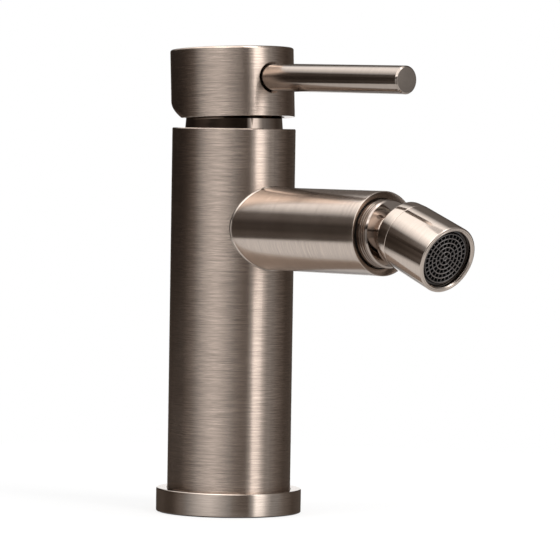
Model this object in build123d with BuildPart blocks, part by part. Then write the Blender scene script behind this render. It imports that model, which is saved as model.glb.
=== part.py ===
from build123d import *
import os
from math import cos, radians, sin, sqrt

os.makedirs("parts", exist_ok=True)

# A single-lever bidet mixer with a swivelling nozzle. All sizes are in millimetres.
# The origin is the centre of the foot on the deck, the spout and lever point along +X.

# Clearances
seat_fit = 0.05
screw_fit = 0.1
running_gap = 0.3
pin_fit = 0.06
lapped_film = 0.05
overrun = 2.0
sharp_edge = 0.3

# Column and foot
body_top = 139.8
body_wall = 3.5
flange_overhang = 4.0
flange_height = 8.6
flange_seam = 0.15
foot_ledge_height = 3.0
foot_ledge_width = 2.5
gasket_height = 1.8
gasket_inset = 1.2
stud_lug_radius = 6.5
stud_lug_height = 16.0
stud_lug_overlap = 1.0
stud_hole_radius = 3.4

# Waterways in the column
hose_socket_radius = 4.45
hose_socket_depth = 12.0
port_edge_gap = 0.2
inlet_radius = 2.5
outlet_radius = 4.0
outlet_drop = 7.4
manifold_floor = 8.5
spout_drop = 2.1

# Cartridge, sized as the common 35 mm one
cartridge_radius = 17.3
chamber_gap = 0.45
housing_wall = 4.0
housing_height = 19.5
housing_step = 2.1
housing_lip_width = 1.3
housing_lip_height = 1.5
cartridge_base_height = 4.7
port_seal_height = 1.3
port_seal_width = 1.3
port_seal_margin = 0.3
peg_radius = 1.8
peg_length = 2.2
peg_inset = 3.8
peg_start_angle = 135
peg_spread_angle = 90
disc_seal_height = 1.0
fixed_disc_height = 3.5
moving_disc_inset = 2.0
moving_disc_height = 3.0
mixing_pocket_radius = 6.0
mixing_pocket_depth = 1.5
disc_start = -1.6
carrier_plate_height = 2.0
carrier_tongue_height = 4.0
carrier_tongue_length = 9.2
carrier_tongue_width = 10.8
rotor_play = 0.5
rotor_wall = 3.6
nut_height = 6.5
nut_thread_height = 1.25
nut_depth = 1.8
nut_key_width = 4.0
nut_key_depth = 1.2
nut_key_count = 6

# Spindle that tilts on a pin inside the rotor
pivot_depth = 6.8
pin_radius = 1.25
pin_end_gap = 0.5
spindle_width = 7.6
spindle_roof_gap = 1.5
spindle_heel = 4.5
spindle_arm_radius = 2.0
spindle_tip_radius = 3.0
spindle_tip_reach = 9.0
spindle_tip_play = 0.15
spindle_tip_well = 0.4

# Handle, in heights above the tilting pivot along its own axis
rest_tilt = 3.0
open_travel = 22.0
hub_bottom = 10.5
hub_crown = 10.0
hub_wall = 3.7
hub_roof = 3.6
hub_top_rounding = 0.8
relief_gap = 0.4
relief_rounding = 3.0
boss_radius = 8.0
boss_drop = 4.6
lug_width = 14.0
rod_radius = 5.0
rod_reach = 93.9
rod_height = 25.6
rod_drop = 3.7
rod_seat_depth = 3.5
rod_ring_gap = 0.6
rod_end_edge = 0.5
lever_stud_radius = 2.45
lever_stud_thread = 9.5
lever_stud_length = 12.0
grub_radius = 2.45
grub_length = 5.0
grub_socket_width = 2.5
grub_socket_depth = 2.0
plug_radius = 2.95
plug_length = 3.4

# Neck between column and handle
neck_gap = 1.1
neck_taper = 0.35
neck_wall = 1.2
neck_height = 8.0
neck_skirt_height = 0.6
neck_ring_radius = 0.55

# Spout
spout_radius = 14.9
spout_wall = 2.0
spout_reach = 82.2
spout_root_flare = 0.8
spout_end_height = 1.8
spout_rim_width = 0.2
spout_end_block = 12.0
shoulder_seat_depth = 4.0
stud_thread_radius = 9.9

# Ball stud
shoulder_radius = 12.0
shoulder_edge_inset = 0.6
shoulder_height = 2.0
shoulder_taper = 1.4
stud_ring_height = 1.0
stud_ring_width = 1.4
ball_radius = 9.1
ball_reach = 11.2
ball_neck_radius = 6.3
ball_bore_radius = 2.6

# Nozzle, along its own axis from the ball's centre
nozzle_droop = 20.5
ball_play = 0.12
liner_wall = 0.55
liner_back = 1.6
liner_front = 3.5
collar_back = 2.6
collar_taper = 0.4
collar_rounding = 1.5
seam_reach = 3.0
seam_edge = 0.15
nozzle_radius = 12.0
nozzle_flare = 0.1
nozzle_reach = 23.0
spigot_inset = 1.15
spigot_reach = 0.8
collar_washer_height = 0.8
collar_washer_width = 0.8
seal_radius = 6.2
seal_bore_radius = 3.9
seal_back = 5.5
seal_front = 9.8
throat_radius = 4.5
throat_length = 1.2
mouth_wall = 1.75
rim_edge = 0.5
washer_height = 1.2
washer_width = 2.7
shell_wall = 1.1
shell_recess = 2.2
grille_recess = 1.3
grille_height = 2.2
grille_hole_width = 0.9
grille_border = 1.05
grille_ring_count = 5
screen_depth = 4.6
screen_height = 0.6
screen_hole_radius = 0.55
screen_border = 2.25
screen_ring_count = 3

# Places worked out from the sizes
chamber_radius = cartridge_radius + chamber_gap
thread_radius = chamber_radius + nut_thread_height
body_radius = thread_radius + body_wall
cavity_radius = body_radius - body_wall
flange_radius = body_radius + flange_overhang
flange_bore_radius = body_radius + flange_seam
ledge_radius = body_radius - foot_ledge_width
nut_top = body_top - nut_depth
nut_bottom = nut_top - nut_height
housing_bottom = nut_bottom - housing_height
base_bottom = housing_bottom - cartridge_base_height
chamber_floor = base_bottom - port_seal_height
cartridge_bore_radius = cartridge_radius - housing_wall
housing_neck_radius = cartridge_radius - housing_step
fixed_disc_radius = cartridge_bore_radius - running_gap
moving_disc_radius = fixed_disc_radius - moving_disc_inset
port_seal_edge = port_seal_margin + port_seal_width
inlet_reach = cartridge_bore_radius - inlet_radius - port_seal_edge - port_edge_gap
outlet_reach = fixed_disc_radius - outlet_radius - port_seal_edge
peg_circle_radius = cartridge_radius - peg_inset
rotor_radius = cartridge_bore_radius - rotor_play
rotor_slot_length = 2 * (rotor_radius - rotor_wall)
spout_height = chamber_floor - spout_drop
outlet_height = spout_height - outlet_drop
manifold_bottom = outlet_height - outlet_radius - manifold_floor
fixed_disc_bottom = housing_bottom + disc_seal_height
moving_disc_bottom = fixed_disc_bottom + fixed_disc_height + lapped_film
carrier_bottom = moving_disc_bottom + moving_disc_height
carrier_plate_top = carrier_bottom + carrier_plate_height
carrier_top = carrier_plate_top + carrier_tongue_height
rotor_bottom = carrier_plate_top + running_gap
rotor_top = nut_top - housing_lip_height - running_gap
pivot_height = body_top - pivot_depth
hub_radius = body_radius
hub_top = rod_height + hub_crown
hub_bore_radius = hub_radius - hub_wall
hub_ceiling = hub_top - hub_roof
spindle_top = hub_ceiling - spindle_roof_gap
boss_bottom = rod_height - boss_drop
lug_bottom = rod_height - rod_radius - rod_ring_gap
rod_seat_reach = hub_radius - rod_seat_depth
lever_stud_grip = rod_seat_reach - lever_stud_thread
lever_stud_reach = rod_seat_reach + lever_stud_length
socket_width = spindle_width + 2 * screw_fit
neck_sweep_radius = sqrt(hub_bore_radius**2 + hub_bottom**2) - neck_gap
neck_shoulder_radius = sqrt(neck_sweep_radius**2 - hub_bottom**2)
neck_base_radius = neck_shoulder_radius + neck_taper
neck_top = body_top + neck_height
neck_mouth_radius = sqrt(neck_sweep_radius**2 - (neck_top - pivot_height) ** 2)
spout_bore_radius = spout_radius - spout_wall
spout_end_rim = shoulder_radius + spout_rim_width
shoulder_edge_radius = shoulder_radius - shoulder_edge_inset
spout_front = spout_reach + spout_end_height
shoulder_back = spout_front - shoulder_seat_depth + stud_ring_height
shoulder_front = spout_front + shoulder_height
liner_bore_radius = ball_radius + ball_play
liner_radius = liner_bore_radius + liner_wall
socket_radius = liner_radius + ball_play
collar_radius = nozzle_radius - collar_taper
nozzle_front_radius = nozzle_radius + nozzle_flare
spigot_radius = nozzle_radius - spigot_inset
mouth_radius = nozzle_front_radius - mouth_wall
aerator_floor = seal_front + throat_length
grille_front = nozzle_reach - grille_recess
shell_front = nozzle_reach - shell_recess
washer_front = aerator_floor + washer_height
shell_radius = mouth_radius - seat_fit
shell_bore_radius = shell_radius - shell_wall
insert_radius = shell_bore_radius - seat_fit
grille_ring_spacing = (insert_radius - grille_border) / grille_ring_count
screen_ring_spacing = (insert_radius - screen_border) / screen_ring_count

# Planes that the pieces stand on
deck = Plane.XY
spout_axis = Plane(origin=(0, 0, spout_height), x_dir=(0, 1, 0), z_dir=(1, 0, 0))
ball_centre = spout_axis.offset(spout_reach + ball_reach)
droop = radians(nozzle_droop)
nozzle_axis = Plane(
    origin=ball_centre.origin, x_dir=(0, 1, 0), z_dir=(cos(droop), 0, -sin(droop))
)
tilt = radians(rest_tilt)
handle_axis = Plane(
    origin=(0, 0, pivot_height), x_dir=(cos(tilt), 0, sin(tilt)), z_dir=(-sin(tilt), 0, cos(tilt))
)
lift = radians(rest_tilt - rod_drop)
rod_axis = Plane(
    origin=handle_axis.offset(rod_height).origin, x_dir=(0, 1, 0), z_dir=(cos(lift), 0, sin(lift))
)
grub_axis = Plane(
    origin=handle_axis.offset(rod_height).origin, x_dir=(0, 1, 0), z_dir=-handle_axis.x_dir
)
pin_axis = Plane(origin=(0, 0, pivot_height), x_dir=(1, 0, 0), z_dir=(0, 1, 0))
handle_line = Axis(handle_axis.origin, handle_axis.z_dir)
nozzle_line = Axis(nozzle_axis.origin, nozzle_axis.z_dir)


def turn(seat, outline, mode=Mode.ADD):
    """Turn an outline of (radius, height) points about the seat's axis."""
    half = Plane(origin=seat.origin, x_dir=seat.x_dir, z_dir=-seat.y_dir)
    with BuildSketch(half) as profile:
        with BuildLine():
            Polyline(*outline, close=True)
        make_face()
    revolve(profile.sketch, axis=Axis(seat.origin, seat.z_dir), mode=mode)


def rod(seat, radius, start, end, mode=Mode.ADD):
    """Add or cut a round bar along the seat's axis between two heights."""
    with BuildSketch(seat.offset(start)) as section:
        Circle(radius)
    extrude(section.sketch, amount=end - start, mode=mode)


def ring(seat, outer_radius, inner_radius, start, end, mode=Mode.ADD):
    """Add or cut a flat-sided ring about the seat's axis between two heights."""
    with BuildSketch(seat.offset(start)) as section:
        Circle(outer_radius)
        Circle(inner_radius, mode=Mode.SUBTRACT)
    extrude(section.sketch, amount=end - start, mode=mode)


def block(seat, length, width, start, end, mode=Mode.ADD):
    """Add or cut a square-sided bar along the seat's axis between two heights."""
    with BuildSketch(seat.offset(start)) as section:
        Rectangle(length, width)
    extrude(section.sketch, amount=end - start, mode=mode)


def save(piece, name):
    """Label one finished piece and write its file."""
    piece.part.label = name
    export_step(piece.part, f"parts/{name}.step")


# Ports of the cartridge: two inlets side by side and the outlet in front of them
inlet_places = [(0, inlet_reach), (0, -inlet_reach)]
outlet_place = [(outlet_reach, 0)]

# The foot ring stands on the deck, carries the column on its ledge and holds the gasket below
with BuildPart() as base_flange:
    ring(deck, flange_radius, flange_bore_radius, foot_ledge_height, flange_height)
    ring(deck, flange_radius, ledge_radius, 0, foot_ledge_height)
    ring(
        deck,
        flange_radius - gasket_inset,
        ledge_radius + gasket_inset,
        0,
        gasket_height,
        mode=Mode.SUBTRACT,
    )
    rims = base_flange.edges().filter_by(GeomType.CIRCLE).sort_by(SortBy.RADIUS)[-3:]
    chamfer(rims.sort_by(Axis.Z)[-1], length=sharp_edge)
save(base_flange, "base_flange")

with BuildPart() as base_gasket:
    ring(
        deck,
        flange_radius - gasket_inset - seat_fit,
        ledge_radius + gasket_inset + seat_fit,
        0,
        gasket_height,
    )
save(base_gasket, "base_gasket")

def peg_bars(seat, radius, length, mode=Mode.ADD):
    """Add or cut the cartridge's two pegs below the seat."""
    with BuildSketch(seat) as section:
        with PolarLocations(
            peg_circle_radius, 2, start_angle=peg_start_angle, angular_range=peg_spread_angle, endpoint=True
        ):
            Circle(radius)
    extrude(section.sketch, amount=-length, mode=mode)


# The column is one casting: an open foot, a block with the waterways, and the cartridge chamber
with BuildPart() as body_column:
    rod(deck, body_radius, foot_ledge_height, body_top)
    rod(deck, cavity_radius, foot_ledge_height, manifold_bottom, mode=Mode.SUBTRACT)
    stud_lug_place = -(cavity_radius - stud_lug_radius + stud_lug_overlap)
    with BuildSketch(deck.offset(foot_ledge_height)):
        with Locations((stud_lug_place, 0)):
            Circle(stud_lug_radius)
    extrude(amount=stud_lug_height)
    with BuildSketch(deck.offset(foot_ledge_height)):
        with Locations((stud_lug_place, 0)):
            Circle(stud_hole_radius)
    extrude(amount=stud_lug_height, mode=Mode.SUBTRACT)
    rod(deck, chamber_radius, chamber_floor, body_top, mode=Mode.SUBTRACT)
    rod(deck, thread_radius, nut_bottom, body_top, mode=Mode.SUBTRACT)
    with BuildSketch(deck.offset(manifold_bottom)):
        with Locations(*inlet_places):
            Circle(hose_socket_radius)
    extrude(amount=hose_socket_depth, mode=Mode.SUBTRACT)
    with BuildSketch(deck.offset(manifold_bottom)):
        with Locations(*inlet_places):
            Circle(inlet_radius)
    extrude(amount=chamber_floor - manifold_bottom, mode=Mode.SUBTRACT)
    with BuildSketch(deck.offset(outlet_height)):
        with Locations(*outlet_place):
            Circle(outlet_radius)
    extrude(amount=chamber_floor - outlet_height, mode=Mode.SUBTRACT)
    outlet_axis = Plane(origin=(0, 0, outlet_height), x_dir=(0, 1, 0), z_dir=(1, 0, 0))
    rod(outlet_axis, outlet_radius, outlet_reach, body_radius + overrun, mode=Mode.SUBTRACT)
    peg_bars(deck.offset(chamber_floor), peg_radius + screw_fit, peg_length + screw_fit, mode=Mode.SUBTRACT)
    top_edges = body_column.edges().filter_by(GeomType.CIRCLE).group_by(Axis.Z)[-1]
    chamfer(top_edges.sort_by(SortBy.RADIUS)[-1], length=sharp_edge)
save(body_column, "body_column")


def port_rings(seat, height):
    """One seal ring round each of the three ports."""
    for places, port_radius in ((inlet_places, inlet_radius), (outlet_place, outlet_radius)):
        with BuildSketch(seat) as section:
            with Locations(*places):
                Circle(port_radius + port_seal_margin + port_seal_width)
                Circle(port_radius + port_seal_margin, mode=Mode.SUBTRACT)
        extrude(section.sketch, amount=height)


def port_holes(seat, height):
    """Cut the three ports through a disc."""
    for places, port_radius in ((inlet_places, inlet_radius), (outlet_place, outlet_radius)):
        with BuildSketch(seat) as section:
            with Locations(*places):
                Circle(port_radius)
        extrude(section.sketch, amount=height, mode=Mode.SUBTRACT)


with BuildPart() as cartridge_port_seals:
    port_rings(deck.offset(chamber_floor), port_seal_height)
save(cartridge_port_seals, "cartridge_port_seals")

with BuildPart() as cartridge_base:
    rod(deck, cartridge_radius, base_bottom, housing_bottom)
    port_holes(deck.offset(base_bottom), cartridge_base_height)
    peg_bars(deck.offset(base_bottom), peg_radius, port_seal_height + peg_length)
save(cartridge_base, "cartridge_base")

with BuildPart() as ceramic_disc_seals:
    port_rings(deck.offset(housing_bottom), disc_seal_height)
save(ceramic_disc_seals, "ceramic_disc_seals")

with BuildPart() as fixed_ceramic_disc:
    rod(deck, fixed_disc_radius, fixed_disc_bottom, fixed_disc_bottom + fixed_disc_height)
    port_holes(deck.offset(fixed_disc_bottom), fixed_disc_height)
save(fixed_ceramic_disc, "fixed_ceramic_disc")

# The housing clamps the stack down, and its lip keeps the rotor in
with BuildPart() as cartridge_housing:
    ring(deck, cartridge_radius, cartridge_bore_radius, housing_bottom, nut_bottom)
    ring(deck, housing_neck_radius, cartridge_bore_radius, nut_bottom, nut_top)
    ring(
        deck,
        housing_neck_radius,
        cartridge_bore_radius - housing_lip_width,
        nut_top - housing_lip_height,
        nut_top,
    )
save(cartridge_housing, "cartridge_housing")

with BuildPart() as cartridge_nut:
    ring(deck, thread_radius - seat_fit, housing_neck_radius + screw_fit, nut_bottom, nut_top)
    with BuildSketch(deck.offset(nut_top - nut_key_depth)):
        with PolarLocations(thread_radius, nut_key_count):
            Rectangle(nut_key_width, nut_key_width)
    extrude(amount=nut_key_depth, mode=Mode.SUBTRACT)
save(cartridge_nut, "cartridge_nut")

# The neck cover hides the nut, its shoulder is part of a ball about the tilting pivot
neck_ring_top = nut_top + 2 * neck_ring_radius
neck_shoulder = pivot_height + hub_bottom
with BuildPart() as neck_cover:
    ring(
        deck,
        thread_radius - screw_fit,
        neck_mouth_radius - neck_wall,
        neck_ring_top,
        neck_ring_top + neck_skirt_height,
    )
    inner_mouth = neck_mouth_radius - neck_wall
    inner_base = neck_base_radius - neck_wall
    mouth_point = (neck_mouth_radius, neck_top)
    shoulder_point = (neck_shoulder_radius, neck_shoulder)
    with BuildSketch(Plane.XZ):
        with BuildLine():
            RadiusArc(shoulder_point, mouth_point, -neck_sweep_radius)
            Polyline(
                mouth_point,
                (inner_mouth, neck_top),
                (inner_mouth, neck_top - neck_wall),
                (inner_base, neck_shoulder),
                (inner_base, neck_ring_top),
                (neck_base_radius, neck_ring_top),
                shoulder_point,
            )
        make_face()
    revolve(axis=Axis.Z)
    rod(deck, inner_base, neck_ring_top - overrun, neck_shoulder, mode=Mode.SUBTRACT)
save(neck_cover, "neck_cover")

with BuildPart() as neck_ring:
    with BuildSketch(Plane.XZ):
        with Locations((neck_base_radius - neck_wall / 2, nut_top + neck_ring_radius)):
            Circle(neck_ring_radius)
    revolve(axis=Axis.Z)
save(neck_ring, "neck_ring")

# Rotor: turns in the housing for temperature, slotted for the spindle and the disc carrier
tongue_place = spindle_tip_reach * sin(tilt)
with BuildPart() as cartridge_rotor:
    rod(deck, rotor_radius, rotor_bottom, rotor_top)
    block(
        deck,
        rotor_slot_length,
        spindle_width + 2 * running_gap,
        rotor_bottom,
        rotor_top,
        mode=Mode.SUBTRACT,
    )
    block(
        deck,
        rotor_slot_length,
        carrier_tongue_width + 2 * running_gap,
        rotor_bottom,
        carrier_top + running_gap,
        mode=Mode.SUBTRACT,
    )
    rod(pin_axis, pin_radius + seat_fit, -rotor_radius, rotor_radius, mode=Mode.SUBTRACT)
save(cartridge_rotor, "cartridge_rotor")

with BuildPart() as spindle_pin:
    pin_half = rotor_radius - pin_end_gap
    rod(pin_axis, pin_radius, -pin_half, pin_half)
save(spindle_pin, "spindle_pin")

with BuildPart() as moving_ceramic_disc:
    with BuildSketch(deck.offset(moving_disc_bottom)):
        with Locations((disc_start, 0)):
            Circle(moving_disc_radius)
    extrude(amount=moving_disc_height)
    with BuildSketch(deck.offset(moving_disc_bottom)):
        with Locations((disc_start, 0)):
            Circle(mixing_pocket_radius)
    extrude(amount=mixing_pocket_depth, mode=Mode.SUBTRACT)
save(moving_ceramic_disc, "moving_ceramic_disc")

with BuildPart() as disc_carrier:
    with BuildSketch(deck.offset(carrier_bottom)):
        with Locations((disc_start, 0)):
            Circle(moving_disc_radius)
    extrude(amount=carrier_plate_height)
    with BuildSketch(deck.offset(carrier_plate_top)):
        with Locations((tongue_place, 0)):
            Rectangle(carrier_tongue_length, carrier_tongue_width)
    extrude(amount=carrier_tongue_height)
    tip_height = pivot_height - spindle_tip_reach * cos(tilt)
    well_bottom = tip_height - spindle_tip_radius - spindle_tip_well
    with BuildSketch(deck.offset(well_bottom)):
        with Locations((tongue_place, 0)):
            Circle(spindle_tip_radius + spindle_tip_play)
    extrude(amount=carrier_top - well_bottom, mode=Mode.SUBTRACT)
save(disc_carrier, "disc_carrier")

# The spindle: a square stem above the pin and a ball tip below it that drives the discs
with BuildPart() as cartridge_spindle:
    block(handle_axis, spindle_width, spindle_width, -spindle_heel, spindle_top)
    rod(handle_axis, spindle_arm_radius, -spindle_tip_reach, -spindle_heel)
    with Locations(handle_axis.offset(-spindle_tip_reach)):
        Sphere(spindle_tip_radius)
    stem_edges = cartridge_spindle.edges().filter_by(handle_line)
    chamfer(stem_edges, length=sharp_edge)
    rod(pin_axis, pin_radius + pin_fit, -spindle_width, spindle_width, mode=Mode.SUBTRACT)
save(cartridge_spindle, "cartridge_spindle")

# The handle's cup, cut away below its back so that it clears the column when it tilts
full_tilt = radians(rest_tilt + open_travel)
relief_height = body_top + relief_gap - pivot_height


def relief_level(back):
    """Height of the relief at a distance behind the handle's axis: level at full tilt."""
    return (relief_height + back * sin(full_tilt)) / cos(full_tilt)


relief_floor = hub_bottom - overrun
relief_start = (relief_floor * cos(full_tilt) - relief_height) / sin(full_tilt)
relief_end = hub_radius + overrun
handle_section = Plane(origin=handle_axis.origin, x_dir=handle_axis.x_dir, z_dir=-handle_axis.y_dir)
with BuildPart() as handle_hub:
    rod(handle_axis, hub_radius, hub_bottom, hub_top)
    with BuildSketch(handle_section):
        with BuildLine():
            Polyline(
                (-relief_start, relief_floor),
                (-relief_end, relief_level(relief_end)),
                (-relief_end, relief_floor),
                close=True,
            )
        make_face()
    extrude(amount=hub_radius + overrun, both=True, mode=Mode.SUBTRACT)
    relief_edge = handle_hub.edges().filter_by(GeomType.ELLIPSE)
    fillet(relief_edge, radius=relief_rounding)
    roof_edge = handle_hub.edges().filter_by(GeomType.CIRCLE).sort_by(handle_line)[-1]
    fillet(roof_edge, radius=hub_top_rounding)
    rod(handle_axis, hub_bore_radius, hub_bottom - overrun, hub_ceiling, mode=Mode.SUBTRACT)
    rod(handle_axis, boss_radius, boss_bottom, hub_ceiling)
    with BuildSketch(handle_axis.offset(lug_bottom)):
        with Locations((hub_bore_radius / 2, 0)):
            Rectangle(hub_bore_radius + sharp_edge, lug_width)
    extrude(amount=hub_ceiling - lug_bottom)
    block(
        handle_axis,
        socket_width,
        socket_width,
        lug_bottom - overrun,
        spindle_top + screw_fit,
        mode=Mode.SUBTRACT,
    )
    rod(rod_axis, rod_radius + rod_ring_gap, rod_seat_reach, hub_radius + overrun, mode=Mode.SUBTRACT)
    rod(rod_axis, lever_stud_radius + seat_fit, lever_stud_grip, hub_radius, mode=Mode.SUBTRACT)
    rod(grub_axis, grub_radius + seat_fit, 0, hub_radius, mode=Mode.SUBTRACT)
    rod(grub_axis, plug_radius + seat_fit, boss_radius, hub_radius + overrun, mode=Mode.SUBTRACT)
save(handle_hub, "handle_hub")

with BuildPart() as lever_rod:
    rod(rod_axis, rod_radius, rod_seat_reach, rod_reach)
    rod_ends = lever_rod.edges().filter_by(GeomType.CIRCLE).sort_by(Axis.X)
    chamfer(rod_ends[-1], length=rod_end_edge)
    rod(
        rod_axis,
        lever_stud_radius + seat_fit,
        rod_seat_reach,
        lever_stud_reach + screw_fit,
        mode=Mode.SUBTRACT,
    )
save(lever_rod, "lever_rod")

with BuildPart() as lever_stud:
    rod(rod_axis, lever_stud_radius, lever_stud_grip + screw_fit, lever_stud_reach)
save(lever_stud, "lever_stud")

with BuildPart() as handle_grub_screw:
    grub_start = spindle_width / 2 + seat_fit
    grub_end = grub_start + grub_length
    rod(grub_axis, grub_radius, grub_start, grub_end)
    with BuildSketch(grub_axis.offset(grub_end)):
        RegularPolygon(grub_socket_width / 2, 6, major_radius=False)
    extrude(amount=-grub_socket_depth, mode=Mode.SUBTRACT)
save(handle_grub_screw, "handle_grub_screw")

with BuildPart() as handle_plug:
    rod(grub_axis, plug_radius, hub_radius - plug_length, hub_radius)
    rod(handle_axis, hub_radius, hub_bottom, hub_top, mode=Mode.INTERSECT)
save(handle_plug, "handle_plug")

# Spout: a tube with a small flare where it is brazed to the column and a threaded end
with BuildPart() as spout_tube:
    rod(deck, body_radius, spout_height - 2 * spout_radius, spout_height + 2 * spout_radius)
    rod(spout_axis, spout_radius, 0, spout_reach)
    saddle = spout_tube.edges().filter_by(GeomType.BSPLINE)
    fillet(saddle, radius=spout_root_flare)
    rod(
        deck,
        body_radius,
        spout_height - 3 * spout_radius,
        spout_height + 3 * spout_radius,
        mode=Mode.SUBTRACT,
    )
    turn(
        spout_axis,
        [
            (0, spout_reach),
            (spout_radius, spout_reach),
            (spout_end_rim, spout_front),
            (0, spout_front),
        ],
    )
    rod(spout_axis, spout_bore_radius, 0, spout_front - spout_end_block, mode=Mode.SUBTRACT)
    rod(spout_axis, stud_thread_radius + seat_fit, 0, spout_front, mode=Mode.SUBTRACT)
    rod(
        spout_axis,
        shoulder_radius + seat_fit,
        spout_front - shoulder_seat_depth,
        spout_front,
        mode=Mode.SUBTRACT,
    )
save(spout_tube, "spout_tube")

with BuildPart() as stud_ring:
    ring(
        spout_axis,
        stud_thread_radius + stud_ring_width,
        stud_thread_radius + seat_fit,
        spout_front - shoulder_seat_depth,
        shoulder_back,
    )
save(stud_ring, "stud_ring")

with BuildPart() as ball_stud:
    turn(
        spout_axis,
        [
            (0, spout_front - spout_end_block),
            (stud_thread_radius, spout_front - spout_end_block),
            (stud_thread_radius, shoulder_back),
            (shoulder_radius, shoulder_back),
            (shoulder_radius, shoulder_front - shoulder_taper),
            (shoulder_edge_radius, shoulder_front),
            (ball_neck_radius, shoulder_front),
            (ball_neck_radius, spout_reach + ball_reach),
            (0, spout_reach + ball_reach),
        ],
    )
    with Locations(ball_centre):
        Sphere(ball_radius)
    rod(
        spout_axis,
        ball_bore_radius,
        spout_front - spout_end_block,
        spout_reach + ball_reach + ball_radius,
        mode=Mode.SUBTRACT,
    )
save(ball_stud, "ball_stud")

# Ball joint of the nozzle: a slippery liner round the ball and a seal in front of it
with BuildPart() as ball_liner:
    with Locations(ball_centre):
        Sphere(liner_radius)
        Sphere(liner_bore_radius, mode=Mode.SUBTRACT)
    split(bisect_by=ball_centre.offset(liner_front), keep=Keep.BOTTOM)
    split(bisect_by=ball_centre.offset(-liner_back), keep=Keep.TOP)
save(ball_liner, "ball_liner")

with BuildPart() as nozzle_seal:
    ring(nozzle_axis, seal_radius, seal_bore_radius, seal_back, seal_front)
    with Locations(ball_centre):
        Sphere(liner_bore_radius, mode=Mode.SUBTRACT)
save(nozzle_seal, "nozzle_seal")

with BuildPart() as nozzle_collar:
    turn(
        nozzle_axis,
        [
            (0, -collar_back),
            (collar_radius, -collar_back),
            (nozzle_radius, seam_reach),
            (0, seam_reach),
        ],
    )
    collar_rims = nozzle_collar.edges().filter_by(GeomType.CIRCLE).sort_by(nozzle_line)
    fillet(collar_rims[0], radius=collar_rounding)
    chamfer(collar_rims[-1], length=seam_edge)
    with Locations(ball_centre):
        Sphere(socket_radius, mode=Mode.SUBTRACT)
    rod(
        nozzle_axis,
        spigot_radius + screw_fit,
        spigot_reach - collar_washer_height,
        seam_reach,
        mode=Mode.SUBTRACT,
    )
save(nozzle_collar, "nozzle_collar")

with BuildPart() as collar_washer:
    ring(
        nozzle_axis,
        spigot_radius,
        spigot_radius - collar_washer_width,
        spigot_reach - collar_washer_height,
        spigot_reach,
    )
save(collar_washer, "collar_washer")

with BuildPart() as nozzle_sleeve:
    turn(
        nozzle_axis,
        [
            (0, spigot_reach),
            (spigot_radius, spigot_reach),
            (spigot_radius, seam_reach),
            (nozzle_radius, seam_reach),
            (nozzle_front_radius, nozzle_reach),
            (0, nozzle_reach),
        ],
    )
    sleeve_rims = nozzle_sleeve.edges().filter_by(GeomType.CIRCLE).sort_by(SortBy.RADIUS)
    fillet(sleeve_rims[-1], radius=rim_edge)
    chamfer(sleeve_rims[-2], length=seam_edge)
    with Locations(ball_centre):
        Sphere(socket_radius, mode=Mode.SUBTRACT)
    rod(nozzle_axis, seal_radius + screw_fit, spigot_reach, seal_front + seat_fit, mode=Mode.SUBTRACT)
    rod(nozzle_axis, throat_radius, seal_front, aerator_floor, mode=Mode.SUBTRACT)
    rod(nozzle_axis, mouth_radius, aerator_floor, nozzle_reach, mode=Mode.SUBTRACT)
save(nozzle_sleeve, "nozzle_sleeve")

# Aerator: a washer, a screw-in shell, an inner screen and the front grille
with BuildPart() as aerator_washer:
    ring(
        nozzle_axis,
        shell_radius,
        shell_radius - washer_width,
        aerator_floor,
        washer_front,
    )
save(aerator_washer, "aerator_washer")

with BuildPart() as aerator_shell:
    ring(nozzle_axis, shell_radius, shell_bore_radius, washer_front, shell_front)
    rim = aerator_shell.edges().filter_by(GeomType.CIRCLE).sort_by(nozzle_line)[-2:]
    chamfer(rim.sort_by(SortBy.RADIUS)[-1], length=sharp_edge)
save(aerator_shell, "aerator_shell")

with BuildPart() as aerator_screen:
    screen_back = shell_front - screen_depth
    rod(nozzle_axis, insert_radius, screen_back, screen_back + screen_height)
    with BuildSketch(nozzle_axis.offset(screen_back)):
        Circle(screen_hole_radius)
        for step in range(1, screen_ring_count + 1):
            with PolarLocations(step * screen_ring_spacing, 6 * step):
                Circle(screen_hole_radius)
    extrude(amount=screen_height, mode=Mode.SUBTRACT)
save(aerator_screen, "aerator_screen")

with BuildPart() as aerator_grille:
    rod(nozzle_axis, insert_radius, grille_front - grille_height, grille_front)
    with BuildSketch(nozzle_axis.offset(grille_front - grille_height)):
        for step in range(1, grille_ring_count + 1):
            with PolarLocations(step * grille_ring_spacing, 6 * step):
                Rectangle(grille_hole_width, grille_hole_width)
    extrude(amount=grille_height, mode=Mode.SUBTRACT)
save(aerator_grille, "aerator_grille")
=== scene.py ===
"""Looks of a single-lever bidet mixer: turned surfaces, finishes, studio and camera, in metres."""

import logging
import math
from dataclasses import dataclass, field
from enum import Enum
from functools import cache, cached_property, reduce
from itertools import chain
from typing import NamedTuple

import bpy
import numpy as np
from mathutils import Euler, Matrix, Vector


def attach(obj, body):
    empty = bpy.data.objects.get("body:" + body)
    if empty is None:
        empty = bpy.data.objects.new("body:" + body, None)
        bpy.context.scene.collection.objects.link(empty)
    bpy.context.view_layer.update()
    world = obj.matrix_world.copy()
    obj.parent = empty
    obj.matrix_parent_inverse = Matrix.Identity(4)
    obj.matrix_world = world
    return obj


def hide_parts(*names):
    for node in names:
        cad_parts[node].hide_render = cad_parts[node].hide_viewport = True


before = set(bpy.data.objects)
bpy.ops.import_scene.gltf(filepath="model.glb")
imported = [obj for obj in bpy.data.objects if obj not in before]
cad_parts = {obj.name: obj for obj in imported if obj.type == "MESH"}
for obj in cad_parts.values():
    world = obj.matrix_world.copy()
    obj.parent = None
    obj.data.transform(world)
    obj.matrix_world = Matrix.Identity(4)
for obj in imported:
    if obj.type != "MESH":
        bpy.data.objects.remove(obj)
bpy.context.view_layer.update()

MM = 0.001
logger = logging.getLogger("mixer")

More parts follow.
